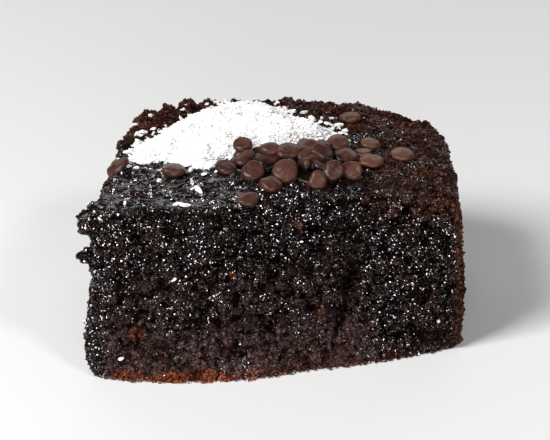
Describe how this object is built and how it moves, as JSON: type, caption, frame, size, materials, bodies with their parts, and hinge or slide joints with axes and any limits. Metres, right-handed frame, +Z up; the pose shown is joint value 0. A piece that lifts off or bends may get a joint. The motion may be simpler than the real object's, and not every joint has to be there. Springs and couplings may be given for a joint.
{
  "type": "brownie",
  "caption": "Square piece of wet dark chocolate cake with a straight cut front, a domed top, a heap of coconut flakes and a pile of chocolate drops.",
  "frame": {"origin": "centre of the whole piece's footprint box, on the flat underside", "axes": "+Z up, the cut face towards -Y, +X to the right of the cut face, and the width along X is the longest side"},
  "size_m": [0.0918, 0.0824, 0.0474],
  "materials": {
    "sponge": "wet, very dark brown chocolate crumb, glossy where soaked, with a dry red-brown crust at the edges",
    "coconut": "white dried coconut, fine soft flakes",
    "chocolate": "satin milk-brown chocolate"
  },
  "bodies": {
    "root": {"sponge": "sponge", "coconut": "coconut", "chocolate_drops": "chocolate"}
  },
  "joints": []
}
